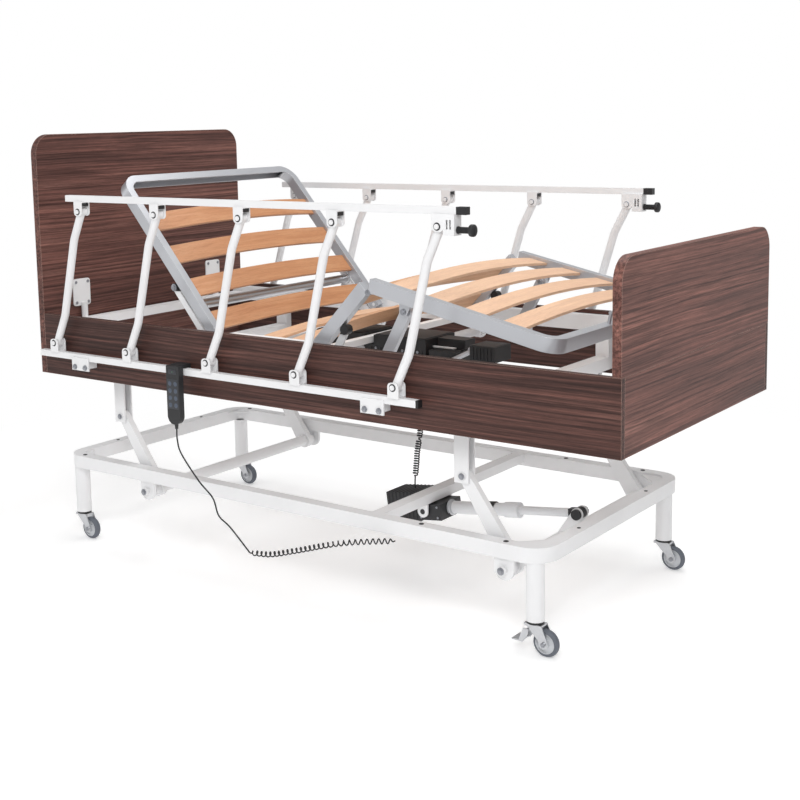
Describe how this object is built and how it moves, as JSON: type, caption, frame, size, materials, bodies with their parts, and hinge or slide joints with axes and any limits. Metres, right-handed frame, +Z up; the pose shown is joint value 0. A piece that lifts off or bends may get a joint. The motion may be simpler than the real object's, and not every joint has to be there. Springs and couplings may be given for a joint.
{
  "type": "adjustable hospital bed",
  "caption": "Electric homecare bed on a parallel-arm wheeled lift base, with walnut boards, raised backrest and knee break on bowed slats, and folding side rails.",
  "frame": {"origin": "on the floor, under the centre of the panelled deck (midway between the outer faces of the headboard and the footboard, midway between the side panels)", "axes": "+X points along the bed to the foot end, +Y to the left-hand side rail (the side away from the handset), +Z up"},
  "size_m": [2.126, 1.0878, 1.374],
  "materials": {
    "white_steel": "white powder coat, satin",
    "silver_steel": "silver-grey metallic paint, semi-gloss",
    "zinc_steel": "zinc plated",
    "wheel_tyre": "grey rubber tread on a zinc-plated rim",
    "walnut_laminate": "dark walnut grain laminate, satin",
    "beech": "clear-lacquered steam-bent beech plywood",
    "black_plastic": "fine-textured moulding",
    "black_cable": "smooth cable sheath",
    "button_plastic": "soft-touch key"
  },
  "bodies": {
    "base": {"base_frame": "white_steel"},
    "head_arms": {"head_lift_arms": "white_steel"},
    "foot_arms": {"foot_lift_arms": "white_steel"},
    "lift_motor": {"lift_actuator": "black_plastic"},
    "lift_rod": {"lift_actuator_rod": "silver_steel"},
    "caster_foot_right": {"caster_fork_foot_right": "zinc_steel"},
    "wheel_foot_right": {"caster_wheel_foot_right": "wheel_tyre"},
    "caster_foot_left": {"caster_fork_foot_left": "zinc_steel"},
    "wheel_foot_left": {"caster_wheel_foot_left": "wheel_tyre"},
    "caster_head_right": {"caster_fork_head_right": "zinc_steel"},
    "wheel_head_right": {"caster_wheel_head_right": "wheel_tyre"},
    "caster_head_left": {"caster_fork_head_left": "zinc_steel"},
    "wheel_head_left": {"caster_wheel_head_left": "wheel_tyre"},
    "pedal": {"brake_pedal": "zinc_steel"},
    "deck": {"deck_frame": "white_steel", "head_board": "walnut_laminate", "foot_board": "walnut_laminate", "foot_apron": "walnut_laminate", "side_panel_right": "walnut_laminate", "side_panel_left": "walnut_laminate", "board_mount_plates": "white_steel", "seat_slats": "beech", "twin_drive": "black_plastic", "control_box": "black_plastic", "drive_stay": "silver_steel", "side_rail_base_right": "white_steel", "side_rail_base_left": "white_steel", "handset": "black_plastic", "handset_cord": "black_cable"},
    "backrest": {"backrest_frame": "silver_steel", "backrest_slats": "beech"},
    "back_lever": {"back_lift_lever": "white_steel"},
    "thigh": {"thigh_frame": "silver_steel", "thigh_slats": "beech"},
    "leg": {"leg_frame": "silver_steel", "leg_slats": "beech"},
    "leg_links": {"leg_support_links": "silver_steel"},
    "knee_lever": {"knee_lift_lever": "white_steel"},
    "right_post_1_swing": {"right_post_1": "white_steel"},
    "right_post_2_swing": {"right_post_2": "white_steel"},
    "right_post_3_swing": {"right_post_3": "white_steel"},
    "right_post_4_swing": {"right_post_4": "white_steel"},
    "right_post_5_swing": {"right_post_5": "white_steel"},
    "right_top_rail": {"top_rail_right": "white_steel"},
    "right_latch": {"latch_pin_right": "black_plastic"},
    "left_post_1_swing": {"left_post_1": "white_steel"},
    "left_post_2_swing": {"left_post_2": "white_steel"},
    "left_post_3_swing": {"left_post_3": "white_steel"},
    "left_post_4_swing": {"left_post_4": "white_steel"},
    "left_post_5_swing": {"left_post_5": "white_steel"},
    "left_top_rail": {"top_rail_left": "white_steel"},
    "left_latch": {"latch_pin_left": "black_plastic"},
    "key_1": {"button_1": "button_plastic"},
    "key_2": {"button_2": "button_plastic"},
    "key_3": {"button_3": "button_plastic"},
    "key_4": {"button_4": "button_plastic"},
    "key_5": {"button_5": "button_plastic"},
    "key_6": {"button_6": "button_plastic"},
    "key_7": {"button_7": "button_plastic"},
    "key_8": {"button_8": "button_plastic"}
  },
  "joints": [
    {"name": "bed_lift", "type": "hinge", "parent": "base", "child": "head_arms", "pos_m": [-0.64, 0, 0.222], "axis": [0, 1, 0], "range_deg": [-45, 12]},
    {"name": "foot_arm_swing", "type": "hinge", "parent": "base", "child": "foot_arms", "pos_m": [0.7, 0, 0.222], "axis": [0, 1, 0], "range_deg": [-45, 12]},
    {"name": "deck_level", "type": "hinge", "parent": "head_arms", "child": "deck", "pos_m": [-0.79006, 0, 0.44405], "axis": [0, 1, 0], "range_deg": [-12, 45], "deforming": ["handset_cord"]},
    {"name": "lift_motor_tilt", "type": "hinge", "parent": "base", "child": "lift_motor", "pos_m": [0.262, -0.1, 0.238], "axis": [0, 1, 0], "range_deg": [-3.6, 1]},
    {"name": "lift_rod_slide", "type": "slide", "parent": "lift_motor", "child": "lift_rod", "axis": [0.9921, 0, 0.1258], "range_m": [-0.0656, 0.0176]},
    {"name": "caster_swivel_foot_right", "type": "hinge", "parent": "base", "child": "caster_foot_right", "pos_m": [0.779, -0.4, 0.09], "axis": [0, 0, 1], "continuous": true},
    {"name": "wheel_spin_foot_right", "type": "hinge", "parent": "caster_foot_right", "child": "wheel_foot_right", "pos_m": [0.812, -0.4, 0.0375], "axis": [0, 1, 0], "continuous": true},
    {"name": "caster_swivel_foot_left", "type": "hinge", "parent": "base", "child": "caster_foot_left", "pos_m": [0.779, 0.4, 0.09], "axis": [0, 0, 1], "continuous": true},
    {"name": "wheel_spin_foot_left", "type": "hinge", "parent": "caster_foot_left", "child": "wheel_foot_left", "pos_m": [0.812, 0.4, 0.0375], "axis": [0, 1, 0], "continuous": true},
    {"name": "caster_swivel_head_right", "type": "hinge", "parent": "base", "child": "caster_head_right", "pos_m": [-0.985, -0.4, 0.09], "axis": [0, 0, 1], "continuous": true},
    {"name": "wheel_spin_head_right", "type": "hinge", "parent": "caster_head_right", "child": "wheel_head_right", "pos_m": [-0.952, -0.4, 0.0375], "axis": [0, 1, 0], "continuous": true},
    {"name": "caster_swivel_head_left", "type": "hinge", "parent": "base", "child": "caster_head_left", "pos_m": [-0.985, 0.4, 0.09], "axis": [0, 0, 1], "continuous": true},
    {"name": "wheel_spin_head_left", "type": "hinge", "parent": "caster_head_left", "child": "wheel_head_left", "pos_m": [-0.952, 0.4, 0.0375], "axis": [0, 1, 0], "continuous": true},
    {"name": "brake_press", "type": "hinge", "parent": "caster_foot_right", "child": "pedal", "pos_m": [0.761, -0.4, 0.066], "axis": [0, 1, 0], "range_deg": [-14, 0]},
    {"name": "backrest_tilt", "type": "hinge", "parent": "deck", "child": "backrest", "pos_m": [-0.323, 0, 0.7525], "axis": [0, 1, 0], "range_deg": [-49.5, 15.5]},
    {"name": "back_lever_swing", "type": "hinge", "parent": "deck", "child": "back_lever", "pos_m": [-0.318, 0, 0.69], "axis": [0, 1, 0], "range_deg": [-43.1, 13.5]},
    {"name": "thigh_tilt", "type": "hinge", "parent": "deck", "child": "thigh", "pos_m": [0.065, 0, 0.75], "axis": [0, -1, 0], "range_deg": [-46.5, 0]},
    {"name": "knee_bend", "type": "hinge", "parent": "thigh", "child": "leg", "pos_m": [0.26192, 0, 0.92846], "axis": [0, -1, 0], "range_deg": [-0.01, 58.51]},
    {"name": "leg_link_swing", "type": "hinge", "parent": "leg", "child": "leg_links", "pos_m": [0.36586, 0, 0.87876], "axis": [0, -1, 0], "range_deg": [-73.7, 0.01]},
    {"name": "knee_lever_swing", "type": "hinge", "parent": "deck", "child": "knee_lever", "pos_m": [0.1, 0, 0.69], "axis": [0, -1, 0], "range_deg": [-49.6, 0.01]},
    {"name": "right_rail_fold", "type": "hinge", "parent": "deck", "child": "right_post_1_swing", "pos_m": [-0.94, -0.515, 0.698], "axis": [0, 1, 0], "range_deg": [0, 64]},
    {"name": "right_post_2_fold", "type": "hinge", "parent": "deck", "child": "right_post_2_swing", "pos_m": [-0.599, -0.515, 0.698], "axis": [0, 1, 0], "range_deg": [-0.01, 64.01]},
    {"name": "right_post_3_fold", "type": "hinge", "parent": "deck", "child": "right_post_3_swing", "pos_m": [-0.258, -0.515, 0.698], "axis": [0, 1, 0], "range_deg": [-0.01, 64.01]},
    {"name": "right_post_4_fold", "type": "hinge", "parent": "deck", "child": "right_post_4_swing", "pos_m": [0.083, -0.515, 0.698], "axis": [0, 1, 0], "range_deg": [-0.01, 64.01]},
    {"name": "right_post_5_fold", "type": "hinge", "parent": "deck", "child": "right_post_5_swing", "pos_m": [0.424, -0.515, 0.698], "axis": [0, 1, 0], "range_deg": [-0.01, 64.01]},
    {"name": "right_top_rail_level", "type": "hinge", "parent": "right_post_1_swing", "child": "right_top_rail", "pos_m": [-0.792, -0.515, 1.131], "axis": [0, 1, 0], "range_deg": [-64.01, 0.01]},
    {"name": "right_latch_pull", "type": "slide", "parent": "right_top_rail", "child": "right_latch", "axis": [1, 0, 0], "range_m": [0, 0.01], "stiffness_N_per_m": 400},
    {"name": "left_rail_fold", "type": "hinge", "parent": "deck", "child": "left_post_1_swing", "pos_m": [-0.94, 0.515, 0.698], "axis": [0, 1, 0], "range_deg": [-3.5, 60.5]},
    {"name": "left_post_2_fold", "type": "hinge", "parent": "deck", "child": "left_post_2_swing", "pos_m": [-0.599, 0.515, 0.698], "axis": [0, 1, 0], "range_deg": [-3.51, 60.51]},
    {"name": "left_post_3_fold", "type": "hinge", "parent": "deck", "child": "left_post_3_swing", "pos_m": [-0.258, 0.515, 0.698], "axis": [0, 1, 0], "range_deg": [-3.51, 60.51]},
    {"name": "left_post_4_fold", "type": "hinge", "parent": "deck", "child": "left_post_4_swing", "pos_m": [0.083, 0.515, 0.698], "axis": [0, 1, 0], "range_deg": [-3.51, 60.51]},
    {"name": "left_post_5_fold", "type": "hinge", "parent": "deck", "child": "left_post_5_swing", "pos_m": [0.424, 0.515, 0.698], "axis": [0, 1, 0], "range_deg": [-3.51, 60.51]},
    {"name": "left_top_rail_level", "type": "hinge", "parent": "left_post_1_swing", "child": "left_top_rail", "pos_m": [-0.76584, 0.515, 1.12116], "axis": [0, 1, 0], "range_deg": [-60.51, 3.51]},
    {"name": "left_latch_pull", "type": "slide", "parent": "left_top_rail", "child": "left_latch", "axis": [1, 0, 0], "range_m": [0, 0.01], "stiffness_N_per_m": 400},
    {"name": "button_1_press", "type": "slide", "parent": "deck", "child": "key_1", "axis": [0, 1, 0], "range_m": [0, 0.0015], "stiffness_N_per_m": 300},
    {"name": "button_2_press", "type": "slide", "parent": "deck", "child": "key_2", "axis": [0, 1, 0], "range_m": [0, 0.0015], "stiffness_N_per_m": 300},
    {"name": "button_3_press", "type": "slide", "parent": "deck", "child": "key_3", "axis": [0, 1, 0], "range_m": [0, 0.0015], "stiffness_N_per_m": 300},
    {"name": "button_4_press", "type": "slide", "parent": "deck", "child": "key_4", "axis": [0, 1, 0], "range_m": [0, 0.0015], "stiffness_N_per_m": 300},
    {"name": "button_5_press", "type": "slide", "parent": "deck", "child": "key_5", "axis": [0, 1, 0], "range_m": [0, 0.0015], "stiffness_N_per_m": 300},
    {"name": "button_6_press", "type": "slide", "parent": "deck", "child": "key_6", "axis": [0, 1, 0], "range_m": [0, 0.0015], "stiffness_N_per_m": 300},
    {"name": "button_7_press", "type": "slide", "parent": "deck", "child": "key_7", "axis": [0, 1, 0], "range_m": [0, 0.0015], "stiffness_N_per_m": 300},
    {"name": "button_8_press", "type": "slide", "parent": "deck", "child": "key_8", "axis": [0, 1, 0], "range_m": [0, 0.0015], "stiffness_N_per_m": 300}
  ],
  "couplings": [
    {"joint": "foot_arm_swing", "follows": "bed_lift", "ratio": 1},
    {"joint": "deck_level", "follows": "bed_lift", "ratio": -1},
    {"joint": "lift_motor_tilt", "follows": "bed_lift", "ratio": 0.0778},
    {"joint": "lift_rod_slide", "follows": "bed_lift", "m_per_rad": 0.0834},
    {"joint": "back_lever_swing", "follows": "backrest_tilt", "ratio": 0.87},
    {"joint": "knee_bend", "follows": "thigh_tilt", "ratio": -1.2581},
    {"joint": "leg_link_swing", "follows": "thigh_tilt", "ratio": 1.5833},
    {"joint": "knee_lever_swing", "follows": "thigh_tilt", "ratio": 1.065},
    {"joint": "right_post_2_fold", "follows": "right_rail_fold", "ratio": 1},
    {"joint": "right_post_3_fold", "follows": "right_rail_fold", "ratio": 1},
    {"joint": "right_post_4_fold", "follows": "right_rail_fold", "ratio": 1},
    {"joint": "right_post_5_fold", "follows": "right_rail_fold", "ratio": 1},
    {"joint": "right_top_rail_level", "follows": "right_rail_fold", "ratio": -1},
    {"joint": "left_post_2_fold", "follows": "left_rail_fold", "ratio": 1},
    {"joint": "left_post_3_fold", "follows": "left_rail_fold", "ratio": 1},
    {"joint": "left_post_4_fold", "follows": "left_rail_fold", "ratio": 1},
    {"joint": "left_post_5_fold", "follows": "left_rail_fold", "ratio": 1},
    {"joint": "left_top_rail_level", "follows": "left_rail_fold", "ratio": -1}
  ]
}
